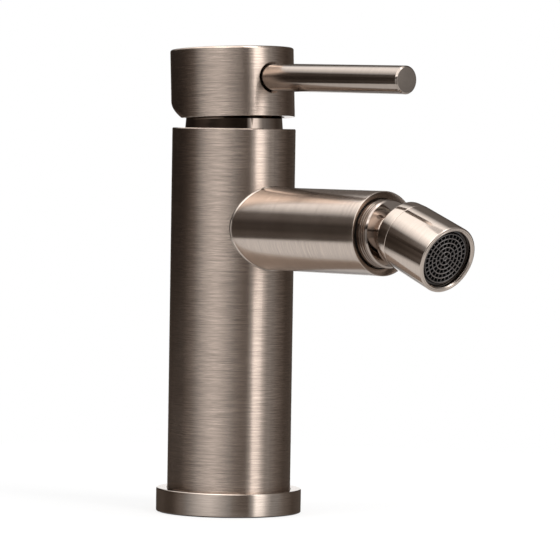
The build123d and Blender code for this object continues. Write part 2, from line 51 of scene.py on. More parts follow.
Array = np.ndarray
Grid = tuple[Array, Array, Array]
Levels = tuple[tuple[float, float], ...]
Socket = bpy.types.NodeSocket
Node = bpy.types.Node
Group = bpy.types.NodeTree
Piece = bpy.types.Object
Look = bpy.types.Material


class Grain(Enum):
    """Direction of the fine lines that a finish leaves on a metal piece."""

    TURNED = "round the axis"
    DRAWN = "along the axis"


@dataclass(frozen=True)
class Seat:
    """A piece's own axis: a point on it and the angle that it leans from straight up towards +X.

    Attributes:
        x: Distance of the point from the column's axis, in millimetres.
        z: Height of the point above the deck, in millimetres.
        lean: Angle from straight up towards +X, in degrees.
    """

    x: float
    z: float
    lean: float

    @property
    def origin(self) -> Array:
        """The point on the axis, in metres."""
        return np.array([self.x, 0.0, self.z]) * MM

    @property
    def axis(self) -> Array:
        """The unit vector along the axis."""
        angle = math.radians(self.lean)
        return np.array([math.sin(angle), 0.0, math.cos(angle)])

    @property
    def side(self) -> Array:
        """The unit vector across the axis, in the plane of the spout."""
        angle = math.radians(self.lean)
        return np.array([math.cos(angle), 0.0, -math.sin(angle)])

    def place(self, radius: Array, turn: Array, height: Array) -> Array:
        """Points of a turned surface: origin + radius (cos turn side + sin turn Y) + height axis.

        Args:
            radius: Distances from the axis, in millimetres.
            turn: Angles round the axis, in radians.
            height: Heights along the axis, in millimetres.

        Returns:
            The points in metres, one row each.
        """
        across = np.array([0.0, 1.0, 0.0])
        outwards = np.cos(turn)[..., None] * self.side + np.sin(turn)[..., None] * across
        points = self.origin + (radius[..., None] * outwards + height[..., None] * self.axis) * MM
        return points.reshape(-1, 3)


DECK = Seat(0.0, 0.0, 0.0)
HANDLE = Seat(0.0, 133.0, -3.0)
ROD = Seat(-1.34, 158.565, 90.7)
SPOUT = Seat(0.0, 103.9, 90.0)
NOZZLE = Seat(93.4, 103.9, 110.5)


@dataclass(frozen=True)
class MetalFinish:
    """A metal finish, with the fine lines of brushing or turning. Sizes are in millimetres.

    Attributes:
        name: Name of the material.
        colour: Base colour, linear.
        roughness: Mean roughness.
        anisotropy: Share by which the blur is longer across the lines.
        line_length: Usual length of a line.
        line_width: Usual width of a line.
        line_tint: Share by which the lines lighten and darken the colour.
        line_relief: Height of the lines.
        cloud: Share by which slow patches change the roughness.
        edge_width: Width of the soft light that edges catch.
        grain: Direction of the lines.
    """

    name: str
    colour: tuple[float, float, float]
    roughness: float
    anisotropy: float
    line_length: float
    line_width: float
    line_tint: float
    line_relief: float
    cloud: float
    edge_width: float
    grain: Grain = Grain.TURNED


@dataclass(frozen=True)
class MouldedFinish:
    """A finish of moulded plastic, pressed rubber or ground ceramic. Sizes are in millimetres.

    Attributes:
        name: Name of the material.
        colour: Base colour, linear.
        roughness: Mean roughness.
        specular: Specular level.
        grain_size: Size of the surface grain.
        grain_relief: Height of the grain.
        speck: Share by which specks lighten the colour.
        tone: Name of the piece's attribute that paints light and shade into the colour, or nothing.
    """

    name: str
    colour: tuple[float, float, float]
    roughness: float
    specular: float
    grain_size: float
    grain_relief: float
    speck: float
    tone: str = ""


NICKEL = (0.50, 0.425, 0.37)
BRUSHED = MetalFinish("brushed_nickel", (0.49, 0.40, 0.34), 0.22, 0.80, 3.5, 0.11, 0.28, 0.0005, 0.08, 0.25)
SATIN = MetalFinish("satin_nickel", NICKEL, 0.20, 0.6, 4.5, 0.14, 0.12, 0.0008, 0.14, 0.22)
FOOT_SATIN = MetalFinish(
    "satin_nickel_foot", (0.58, 0.49, 0.425), 0.13, 0.4, 3.0, 0.14, 0.1, 0.0006, 0.14, 0.22
)
# Painted shade: the lever's nickel is darker than the spout's, in place of the dimmer light on it.
ROD_SHADED_SATIN = MetalFinish(
    "satin_nickel_rod_painted_shade", (0.36, 0.305, 0.265), 0.15, 0.5, 4.5, 0.14, 0.07, 0.0006, 0.14, 0.2
)
NOZZLE_SATIN = MetalFinish("nozzle_nickel", NICKEL, 0.12, 0.4, 4.0, 0.12, 0.07, 0.0006, 0.14, 0.18)
# Painted shade: darker nickel in place of the shade between the spout's end and the nozzle.
STUD_SHADED_NICKEL = MetalFinish(
    "polished_nickel_stud_painted_shade", (0.38, 0.32, 0.28), 0.09, 0.2, 6.0, 0.12, 0.04, 0.0004, 0.3, 0.12
)
# Painted shade: the neck's nickel is darker than the rest, in place of the shade under the hub.
NECK_SHADED_NICKEL = MetalFinish(
    "polished_nickel_neck_painted_shade", (0.34, 0.28, 0.24), 0.05, 0.2, 6.0, 0.12, 0.05, 0.0004, 0.3, 0.12
)
BRASS = MetalFinish("bare_brass", (0.62, 0.42, 0.16), 0.3, 0.5, 3.0, 0.12, 0.1, 0.001, 0.2, 0.15)
STEEL = MetalFinish(
    "plain_steel", (0.55, 0.56, 0.58), 0.26, 0.5, 2.5, 0.1, 0.08, 0.001, 0.2, 0.1, Grain.DRAWN
)
CERAMIC = MouldedFinish("ceramic", (0.80, 0.79, 0.76), 0.18, 0.5, 0.25, 0.0006, 0.05)
CARTRIDGE_PLASTIC = MouldedFinish("cartridge_plastic", (0.62, 0.64, 0.66), 0.42, 0.5, 0.3, 0.003, 0.06)
ROTOR_PLASTIC = MouldedFinish("rotor_plastic", (0.10, 0.16, 0.30), 0.40, 0.5, 0.3, 0.003, 0.08)
LINER_PLASTIC = MouldedFinish("liner_plastic", (0.70, 0.69, 0.64), 0.35, 0.5, 0.3, 0.002, 0.05)
CAP_PLASTIC = MouldedFinish("cap_plastic", (0.17, 0.145, 0.125), 0.38, 0.5, 0.3, 0.003, 0.06)
AERATOR_PLASTIC = MouldedFinish("aerator_plastic", (0.030, 0.025, 0.024), 0.28, 0.55, 0.35, 0.004, 0.5)
GRILLE_PLASTIC = MouldedFinish("grille_plastic", (0.036, 0.031, 0.029), 0.34, 0.5, 0.35, 0.004, 0.3, "tone")
SCREEN_PLASTIC = MouldedFinish("screen_plastic", (0.14, 0.14, 0.15), 0.45, 0.5, 0.3, 0.003, 0.1)
RUBBER = MouldedFinish("black_rubber", (0.018, 0.018, 0.019), 0.62, 0.4, 0.22, 0.006, 0.5)

# Painted highlight: the edge mask lightens the edges of metal pieces towards this colour.
GLINT_COLOUR = (0.80, 0.73, 0.66, 1.0)
GLINT_SHARE = 0.35
GRAIN_RANGE = (0.3, 0.7)
ROUGHNESS_SWING = 0.1
PAINTED_LIGHT_POWER = 2.2
PAINTED_LIGHT_GAIN = 7.0
WHITE = (1.0, 1.0, 1.0, 1.0)


class Fade(NamedTuple):
    """A change along one measure: where it starts and ends, and the value before and after it."""

    start: float
    end: float
    before: float = 0.0
    after: float = 1.0


class Graph:
    """A node tree with short ways to add and join nodes."""

    def __init__(self, tree: Group) -> None:
        """Keep the tree that the nodes go into."""
        self.tree = tree

    @classmethod
    def fresh(cls, owner: Look | bpy.types.World) -> "Graph":
        """Empty the node tree of a material or world and start on it."""
        owner.use_nodes = True
        owner.node_tree.nodes.clear()
        return cls(owner.node_tree)

    def add(self, kind: str, inputs: dict | None = None, **settings: object) -> Node:
        """Add one node.

        Args:
            kind: Blender's type name of the node, without ShaderNode in front.
            inputs: Sockets or plain values for the node's inputs, by name or number.
            **settings: The node's own properties.

        Returns:
            The new node.
        """
        node = self.tree.nodes.new(kind if kind.startswith("NodeGroup") else f"ShaderNode{kind}")
        for name, value in settings.items():
            setattr(node, name, value)
        for key, value in (inputs or {}).items():
            if isinstance(value, Socket):
                self.tree.links.new(value, node.inputs[key])
            else:
                node.inputs[key].default_value = value
        return node

    def show(self, shader: Node, kind: str = "Material") -> None:
        """End the graph of a material or world with its shader."""
        self.add(f"Output{kind}", {"Surface": shader.outputs[0]})

    def math(self, operation: str, *values: object) -> Socket:
        """Put out what an operation on sockets or numbers gives."""
        return self.add("Math", dict(enumerate(values)), operation=operation).outputs[0]

    def plus(self, *terms: object) -> Socket:
        """Put out the sum of sockets or numbers."""
        return reduce(lambda one, other: self.math("ADD", one, other), terms)

    def times(self, *factors: object) -> Socket:
        """Put out the product of sockets or numbers."""
        return reduce(lambda one, other: self.math("MULTIPLY", one, other), factors)

    def vector(self, operation: str, *values: object) -> Socket:
        """Put out the vector that an operation on sockets or vectors gives."""
        return self.add("VectorMath", dict(enumerate(values)), operation=operation).outputs[0]

    def measure(self, operation: str, *values: object) -> Socket:
        """Put out the number that an operation on sockets or vectors gives."""
        return self.vector(operation, *values).node.outputs["Value"]

    def scaled(self, vector: object, amount: object) -> Socket:
        """Put out a vector or colour times an amount."""
        return self.add("VectorMath", {0: vector, "Scale": amount}, operation="SCALE").outputs[0]

    def spread(self, value: object, fade: Fade) -> Socket:
        """Put out a fade of a value, clamped at both ends."""
        return self.add("MapRange", dict(enumerate((value, *fade)))).outputs[0]

    def noise(self, vector: object, scale: object, detail: float) -> Socket:
        """Put out smooth noise between 0 and 1."""
        inputs = {"Vector": vector, "Scale": scale, "Detail": detail}
        return self.add("TexNoise", inputs).outputs["Fac"]

    def blend(self, share: Socket, first: object, second: object) -> Socket:
        """Put out a colour between two colours, which are inputs 6 and 7 of Blender's node."""
        return self.add("Mix", {0: share, 6: first, 7: second}, data_type="RGBA").outputs[2]

    def bump(self, relief: float, height: Socket, **normal: Socket) -> Socket:
        """Put out the normal over a relief in millimetres, where the height goes from 0 to 1."""
        inputs = {"Strength": 1.0, "Distance": relief * MM, "Height": height, **normal}
        return self.add("Bump", inputs).outputs[0]


@dataclass
class EffectGroups:
    """The node groups that several finishes share, each made once."""

    fine_detail: float = 3.0
    coarse_detail: float = 1.0
    fine_share: float = 0.55
    coarse_scale: float = 0.32
    cloud_scale: float = 60.0
    grain_swing: Fade = Fade(0.34, 0.66, -1.0)
    cloud_swing: Fade = Fade(0.3, 0.7, -1.0)
    cloud_strength: Fade = Fade(-1.0, 1.0, 0.6, 1.3)
    edge_samples: int = 6
    edge_turn: Fade = Fade(0.985, 0.88)
    speck_fade: Fade = Fade(0.05, 0.3, 1.0, 0.0)

    @staticmethod
    def start(name: str, **inputs: float | None) -> tuple[Graph, bpy.types.bpy_prop_collection]:
        """Begin a group with named input sockets.

        Args:
            name: Name of the group.
            **inputs: Each input's first value, or None for a vector.

        Returns:
            The graph and the sockets of its inputs.
        """
        tree = bpy.data.node_groups.new(name, "ShaderNodeTree")
        for label, value in inputs.items():
            kind = "NodeSocketVector" if value is None else "NodeSocketFloat"
            socket = tree.interface.new_socket(label, in_out="INPUT", socket_type=kind)
            if value is not None:
                socket.default_value = value
        graph = Graph(tree)
        return graph, graph.add("NodeGroupInput").outputs

    @staticmethod
    def end(graph: Graph, **results: Socket) -> Group:
        """Close a group with its named results."""
        for label, result in results.items():
            kind = "NodeSocketVector" if result.type == "VECTOR" else "NodeSocketFloat"
            graph.tree.interface.new_socket(label, in_out="OUTPUT", socket_type=kind)
        graph.add("NodeGroupOutput", results)
        return graph.tree

    @cached_property
    def grain_lines(self) -> Group:
        """Fine brushed lines: noise stretched along the lines, at a fine and a coarse width.

        For turned pieces the distance from the axis is added to the height, so the lines run round the
        wall and in rings on the flat ends. A slow patch makes the lines stronger and weaker.
        """
        graph, source = self.start("grain_lines", Vector=None, Stretch=None, Rings=1.0, Tint=0.1)
        flat = graph.vector("MULTIPLY", source["Vector"], (1.0, 1.0, 0.0))
        away = graph.times(graph.measure("LENGTH", flat), source["Rings"])
        upwards = graph.add("CombineXYZ", {2: away}).outputs[0]
        lifted = graph.vector("ADD", source["Vector"], upwards)
        place = graph.vector("MULTIPLY", lifted, source["Stretch"])
        fine = graph.times(graph.noise(place, 1.0, self.fine_detail), self.fine_share)
        coarse = graph.times(graph.noise(place, self.coarse_scale, self.coarse_detail), 1 - self.fine_share)
        both = graph.plus(fine, coarse)
        swing = graph.spread(both, self.grain_swing)
        patches = graph.noise(source["Vector"], self.cloud_scale, self.fine_detail)
        cloud = graph.spread(patches, self.cloud_swing)
        strength = graph.times(source["Tint"], graph.spread(cloud, self.cloud_strength))
        shade = graph.plus(1.0, graph.times(swing, strength))
        return self.end(graph, Shade=shade, Height=both, Cloud=cloud)

    @cached_property
    def rounded_edge_glint(self) -> Group:
        """Edge mask and rounded normal: how far a small bevel turns the normal, past a small dead zone. The
        mask paints a highlight on the edges.
        """
        graph, source = self.start("rounded_edge_glint", Width=0.0003)
        bevel = graph.add("Bevel", {"Radius": source["Width"]}, samples=self.edge_samples).outputs[0]
        flat = graph.add("NewGeometry").outputs["Normal"]
        mask = graph.spread(graph.measure("DOT_PRODUCT", bevel, flat), self.edge_turn)
        lean = graph.scaled(graph.vector("SUBTRACT", bevel, flat), mask)
        normal = graph.vector("NORMALIZE", graph.vector("ADD", flat, lean))
        return self.end(graph, Mask=mask, Normal=normal)

    @cached_property
    def moulded_grain(self) -> Group:
        """Pimpled grain of moulded parts: small cells and specks."""
        graph, source = self.start("moulded_grain", Vector=None, Size=0.0003)
        scale = graph.math("DIVIDE", 1.0, source["Size"])
        cell = graph.add("TexVoronoi", {"Vector": source["Vector"], "Scale": scale}).outputs
        speck = graph.spread(cell["Distance"], self.speck_fade)
        height = graph.noise(source["Vector"], scale, self.fine_detail)
        return self.end(graph, Height=height, Speck=speck)


def fresh_material(name: str) -> tuple[Look, Graph]:
    """Start a material, and its graph with nothing in it."""
    material = bpy.data.materials.new(name)
    return material, Graph.fresh(material)


def cover(piece: Piece, material: Look) -> None:
    """Put one material on all of a piece."""
    if not piece.data.materials:
        piece.data.materials.append(material)
    for slot in piece.material_slots:
        slot.material = material


@dataclass(eq=False)
class Finisher:
    """Builds the materials, each once, and puts them on pieces."""

    groups: EffectGroups = field(default_factory=EffectGroups)

    @cache
    def metal(self, finish: MetalFinish, seat: Seat) -> Look:
        """Brushed or turned metal whose lines follow the piece's own axis.

        Args:
            finish: The finish.
            seat: The axis that the lines run round or along.

        Returns:
            The material, made once for each finish and axis.
        """
        material, graph = fresh_material(finish.name)
        turned = finish.grain is Grain.TURNED
        along, across = 1.0 / (finish.line_length * MM), 1.0 / (finish.line_width * MM)
        coordinates = graph.add("TexCoord").outputs
        own = {
            "Vector": coordinates["Object"],
            "Location": Vector(seat.origin),
            "Rotation": Euler((0.0, math.radians(seat.lean), 0.0)),
        }
        stretched = {
            "Vector": graph.add("Mapping", own, vector_type="TEXTURE").outputs[0],
            "Stretch": (along, along, across) if turned else (across, across, along),
            "Rings": float(turned),
            "Tint": finish.line_tint,
        }
        lines = graph.add("Group", stretched, node_tree=self.groups.grain_lines).outputs
        width = {"Width": finish.edge_width * MM}
        edge = graph.add("Group", width, node_tree=self.groups.rounded_edge_glint).outputs
        base = graph.scaled(finish.colour, lines["Shade"])
        # Painted highlight: the edge mask lightens the base colour towards GLINT_COLOUR.
        glint = graph.times(edge["Mask"], GLINT_SHARE)
        spoke = graph.vector("SUBTRACT", coordinates["Object"], Vector(seat.origin))
        ring = graph.vector("CROSS_PRODUCT", Vector(seat.axis), spoke)
        if turned:
            ring = graph.vector("CROSS_PRODUCT", coordinates["Normal"], ring)
        spaces = {"vector_type": "VECTOR", "convert_from": "OBJECT", "convert_to": "WORLD"}
        tangent = graph.add("VectorTransform", {0: ring}, **spaces)
        patch = graph.plus(1.0, graph.times(lines["Cloud"], finish.cloud))
        shader = {
            "Base Color": graph.blend(glint, base, GLINT_COLOUR),
            "Roughness": graph.times(finish.roughness, patch),
            "Metallic": 1.0,
            "Anisotropic": finish.anisotropy,
            "Normal": graph.bump(finish.line_relief, lines["Height"], Normal=edge["Normal"]),
            "Tangent": tangent.outputs[0],
        }
        graph.show(graph.add("BsdfPrincipled", shader))
        return material

    @cache
    def moulded(self, finish: MouldedFinish) -> Look:
        """Plastic, rubber or ceramic with a fine grain.

        Args:
            finish: The finish.

        Returns:
            The material, made once for each finish.
        """
        material, graph = fresh_material(finish.name)
        place = graph.add("TexCoord").outputs["Object"]
        inputs = {"Vector": place, "Size": finish.grain_size * MM}
        grain = graph.add("Group", inputs, node_tree=self.groups.moulded_grain).outputs
        lift = graph.plus(1.0, graph.times(grain["Speck"], finish.speck))
        if finish.tone:
            # Painted light and shade: the attribute darkens the piece's recesses and lightens its raised
            # parts.
            tone = graph.add("Attribute", attribute_name=finish.tone).outputs["Fac"]
            lift = graph.times(lift, graph.times(graph.math("POWER", tone, PAINTED_LIGHT_POWER), PAINTED_LIGHT_GAIN))
        rough = [finish.roughness * (1 + swing) for swing in (-ROUGHNESS_SWING, ROUGHNESS_SWING)]
        shader = {
            "Base Color": graph.scaled(finish.colour, lift),
            "Roughness": graph.spread(grain["Height"], Fade(*GRAIN_RANGE, *rough)),
            "Specular IOR Level": finish.specular,
            "Normal": graph.bump(finish.grain_relief, grain["Height"]),
        }
        graph.show(graph.add("BsdfPrincipled", shader))
        return material

    def dress(self, piece: Piece, finish: MetalFinish | MouldedFinish, *seat: Seat) -> None:
        """Put a finish on all of a piece. A metal finish also takes the axis of its lines."""
        cover(piece, self.metal(finish, *seat) if seat else self.moulded(finish))


def rounded_outline(*corners: tuple[float, ...], steps: int = 6) -> Array:
    """Round the corners of an outline with arcs.

    The arc of a rounded corner touches both edges at radius / tan(half the corner's angle)
    from the corner. The arc's points are centre + radius (cos angle, sin angle), evenly spread.

    Args:
        *corners: Each corner's distance from the axis, height along it and radius, in millimetres. A
            sharp corner has no radius.
        steps: Number of spans in each arc.

    Returns:
        The points of the open outline, one row each.
    """
    places = np.array([corner[:2] for corner in corners])
    rows = [places[:1]]
    for index in range(1, len(corners) - 1):
        corner = places[index]
        if len(corners[index]) < 3:
            rows.append(corner[None])
            continue
        radius = corners[index][2]
        back = places[index - 1] - corner
        ahead = places[index + 1] - corner
        back, ahead = back / np.linalg.norm(back), ahead / np.linalg.norm(ahead)
        half = math.acos(float(np.clip(back @ ahead, -1, 1))) / 2
        middle = (back + ahead) / np.linalg.norm(back + ahead)
        centre = corner + middle * radius / math.sin(half)
        first = corner + back * radius / math.tan(half) - centre
        last = corner + ahead * radius / math.tan(half) - centre
        share = np.linspace(0, 1, steps + 1)[:, None]
        opening = math.acos(float(np.clip(first @ last / radius**2, -1, 1)))
        arc = first * np.sin((1 - share) * opening) + last * np.sin(share * opening)
        rows.append(centre + arc / math.sin(opening))
    rows.append(places[-1:])
    return np.vstack(rows)


def linked(name: str, data: bpy.types.ID) -> Piece:
    """Make an object from its data and link it into the scene."""
    item = bpy.data.objects.new(name, data)
    bpy.context.scene.collection.objects.link(item)
    return item


def mesh_piece(name: str, points: Array, faces: list[Array], sharp_angle: float = 40.0) -> Piece:
    """Make an object from points and faces, smooth but for its sharp edges.

    Args:
        name: Name of the object.
        points: Points in metres, one row each.
        faces: Blocks of faces, with one row of corner numbers for each face.
        sharp_angle: Angle above which an edge stays sharp, in degrees.

    Returns:
        The new object, in the scene.
    """
    mesh = bpy.data.meshes.new(name)
    mesh.from_pydata(points, [], list(chain.from_iterable(block.tolist() for block in faces)))
    mesh.update()
    mesh.set_sharp_from_angle(angle=math.radians(sharp_angle))
    return linked(name, mesh)


def arc_points(radius: float, angles: Array) -> Array:
    """Distance from the axis and height of points on a circle, at angles from straight up in radians."""
    return np.column_stack([np.sin(angles), np.cos(angles)]) * radius


def around(turns: int) -> Array:
    """Angles spread evenly all the way round, in radians."""
    return np.linspace(0, 2 * math.pi, turns, endpoint=False)


def grid_faces(rows: int, columns: int, closed: bool = False) -> Array:
    """Faces between neighbours of a grid whose columns close on themselves.

    Args:
        rows: Number of rows.
        columns: Number of columns.
        closed: Whether the rows close on themselves too.

    Returns:
        Four corner numbers for each face, which looks outwards where rows run up the outside.
    """
    row, column = np.meshgrid(np.arange(rows if closed else rows - 1), np.arange(columns), indexing="ij")
    above, beside = (row + 1) % rows, (column + 1) % columns
    corners = [(row, column), (row, beside), (above, beside), (above, column)]
    return np.stack([a * columns + b for a, b in corners], axis=-1).reshape(-1, 4)


def turned_over(faces: Array) -> Array:
    """The same faces, looking the other way: the first corner stays and the others are reversed."""
    return np.roll(faces[:, ::-1], 1, axis=1)


def turned_grid(outline: Array, turns: int) -> Grid:
    """Radius, angle and height of an outline's points at each of the angles round an axis."""
    radius, angle = np.meshgrid(outline[:, 0], around(turns), indexing="ij")
    return radius, angle, np.repeat(outline[:, 1:], turns, axis=1)


def turned_piece(name: str, outline: Array, seat: Seat, turns: int) -> Piece:
    """Carry a closed outline round the seat's axis.

    Point (i, j) is the seat's place at radius and height of outline point i and angle 2 pi j / turns,
    and each face joins neighbours in i and j, so the ring closes on itself both ways.

    Args:
        name: Name of the object.
        outline: Radius and height of each point of the closed outline, in millimetres, anticlockwise.
        seat: Axis to turn about.
        turns: Number of spans round the axis.

    Returns:
        The new object.
    """
    points = seat.place(*turned_grid(outline, turns))
    return mesh_piece(name, points, [grid_faces(len(outline), turns, closed=True)])


def capped_points(seat: Seat, grid: Grid, poles: tuple[float, float]) -> tuple[Array, list[Array]]:
    """Close a grid round an axis with one point on the axis before its first row and one after its last.

    Args:
        seat: Axis that the grid goes round.
        grid: Radius, angle and height of each point of the grid, in millimetres and radians.
        poles: Heights of the two points on the axis, in millimetres.

    Returns:
        The points, and blocks of faces that look outwards where rows run up the outside.
    """
    rows, turns = grid[0].shape
    ends = seat.place(np.zeros(2), np.zeros(2), np.array(poles))
    step, onward = np.arange(turns), (np.arange(turns) + 1) % turns
    total, last = rows * turns, (rows - 1) * turns
    fans = [
        np.stack([onward, step, np.full(turns, total)], axis=-1),
        np.stack([last + step, last + onward, np.full(turns, total + 1)], axis=-1),
    ]
    return np.vstack([seat.place(*grid), ends]), [grid_faces(rows, turns), *fans]


@dataclass
class Foot:
    """The foot ring on the deck."""

    radius: float = 26.5
    bore: float = 22.65
    ledge: float = 20.0
    ledge_height: float = 3.0
    height: float = 8.6
    groove_outer: float = 25.3
    groove_inner: float = 21.2
    groove_depth: float = 1.8
    edge: float = 0.5
    turns: int = 256

    def build(self) -> Piece:
        """Turn the foot ring with softened edges and its gasket groove."""
        outline = rounded_outline(
            (self.groove_outer, 0.0), (self.radius, 0.0, self.edge),
            (self.radius, self.height, self.edge), (self.bore, self.height, self.edge / 2),
            (self.bore, self.ledge_height), (self.ledge, self.ledge_height, 0.1),
            (self.ledge, 0.0, 0.1), (self.groove_inner, 0.0),
            (self.groove_inner, self.groove_depth), (self.groove_outer, self.groove_depth),
        )
        piece = turned_piece("foot_ring", outline, DECK, self.turns)
        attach(piece, "root")
        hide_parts("base_flange")
        return piece


@dataclass
class Lever:
    """The round lever rod."""

    radius: float = 5.0
    start: float = 19.0
    reach: float = 93.9
    end_edge: float = 0.55
    stud_bore: float = 2.5
    stud_depth: float = 31.1
    turns: int = 128

    def build(self) -> Piece:
        """Turn the rod with a softened bevel at its free end and the stud's bore at the other."""
        outline = rounded_outline(
            (self.stud_bore, self.start), (self.radius, self.start, 0.15),
            (self.radius, self.reach - self.end_edge, 0.2),
            (self.radius - self.end_edge, self.reach, 0.2), (0.0, self.reach),
        )
        walls = np.vstack([[self.stud_bore, self.stud_depth], outline[:-1]])
        points, faces = capped_points(ROD, turned_grid(walls, self.turns), (self.stud_depth, self.reach))
        piece = mesh_piece("round_lever", points, faces)
        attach(piece, "handle")
        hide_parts("lever_rod")
        return piece


@dataclass
class SideSpout:
    """The tube that is brazed to the column, in distances along the spout."""

    column_radius: float = 22.5
    radius: float = 14.9
    flare: float = 0.45
    bore: float = 12.9
    thread_bore: float = 10.0
    thread_start: float = 72.0
    seat: float = 80.0
    seat_radius: float = 12.1
    reach: float = 82.2
    land: float = 0.3
    dish: float = 1.6
    wall_start: float = 2.0
    bore_chamfer: float = 0.9
    flare_points: int = 9
    turns: int = 256

    def build(self) -> Piece:
        """Carry the tube's outline round the spout, from the column's side to its dished end.

        A row that lies on the column starts at x = sqrt(column_radius^2 - (r sin t)^2), so the root
        follows the column, and the flare's point at angle a is r = radius + flare (1 - sin a) and
        x = root + flare (1 - cos a). The end is a narrow flat land and a ring that dishes inwards.

        Returns:
            The new object.
        """
        sweep = np.linspace(0, math.pi / 2, self.flare_points)
        out, up = self.flare * (1 - np.sin(sweep)), self.flare * (1 - np.cos(sweep))
        front = rounded_outline(
            (self.radius, self.reach - self.wall_start), (self.radius, self.reach, 0.12),
            (self.radius - self.land, self.reach, 0.06),
            (self.seat_radius, self.reach - self.dish, 0.08), (self.seat_radius, self.seat),
            (self.thread_bore, self.seat), (self.thread_bore, self.thread_start),
            (self.bore, self.thread_start),
        )
        ends = [self.bore, self.bore + self.bore_chamfer, self.radius]
        flare = np.column_stack([self.radius + out, up, np.ones_like(out)])
        walls = np.column_stack([front, np.zeros(len(front))])
        table = np.vstack([flare, walls, np.column_stack([ends, np.zeros(3), np.ones(3)])])
        radius, angle, height = turned_grid(table[:, :2], self.turns)
        root = np.sqrt(self.column_radius**2 - (radius * np.sin(angle)) ** 2)
        points = SPOUT.place(radius, angle, height + table[:, 2:] * root)
        piece = mesh_piece("side_spout", points, [grid_faces(len(table), self.turns, closed=True)])
        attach(piece, "root")
        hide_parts("spout_tube")
        return piece


@dataclass
class BallStud:
    """The shoulder, neck and ball that carry the nozzle, in distances along the spout."""

    thread_start: float = 72.0
    thread_radius: float = 9.9
    shoulder_back: float = 81.0
    shoulder_radius: float = 12.0
    shoulder_edge: float = 85.45
    shoulder_front: float = 86.0
    front_radius: float = 11.45
    neck_radius: float = 6.3
    ball_centre: float = 93.4
    ball_radius: float = 9.1
    bore: float = 2.6
    line_count: int = 3
    line_depth: float = 0.3
    line_pitch: float = 1.12
    line_half: float = 0.16
    line_rounding: float = 0.03
    edge_land: float = 0.05
    ball_points: int = 40
    turns: int = 192

    def build(self) -> Piece:
        """Turn the stud, with fine spanner lines round its shoulder and a true ball."""
        start = self.ball_centre - math.sqrt(self.ball_radius**2 - self.neck_radius**2)
        first = math.atan2(self.neck_radius, start - self.ball_centre)
        last = math.atan2(self.bore, math.sqrt(self.ball_radius**2 - self.bore**2))
        ball = arc_points(self.ball_radius, np.linspace(first, last, self.ball_points))
        ball[:, 1] += self.ball_centre
        grooves = []
        for step in range(self.line_count):
            place = self.shoulder_edge - (self.line_count - step - 0.5) * self.line_pitch
            for across, depth in ((-self.line_half, 0.0), (0.0, self.line_depth), (self.line_half, 0.0)):
                grooves.append((self.shoulder_radius - depth, place + across, self.line_rounding))
        outline = rounded_outline(
            (self.bore, self.thread_start), (self.thread_radius, self.thread_start, 0.2),
            (self.thread_radius, self.shoulder_back),
            (self.shoulder_radius, self.shoulder_back, 0.1), *grooves,
            (self.shoulder_radius, self.shoulder_edge + self.edge_land, 0.05),
            (self.front_radius, self.shoulder_front, 0.08),
            (self.neck_radius, self.shoulder_front, 0.3), (self.neck_radius, start),
        )
        piece = turned_piece("ball_and_shoulder", np.vstack([outline, ball[1:]]), SPOUT, self.turns)
        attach(piece, "root")
        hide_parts("ball_stud")
        return piece


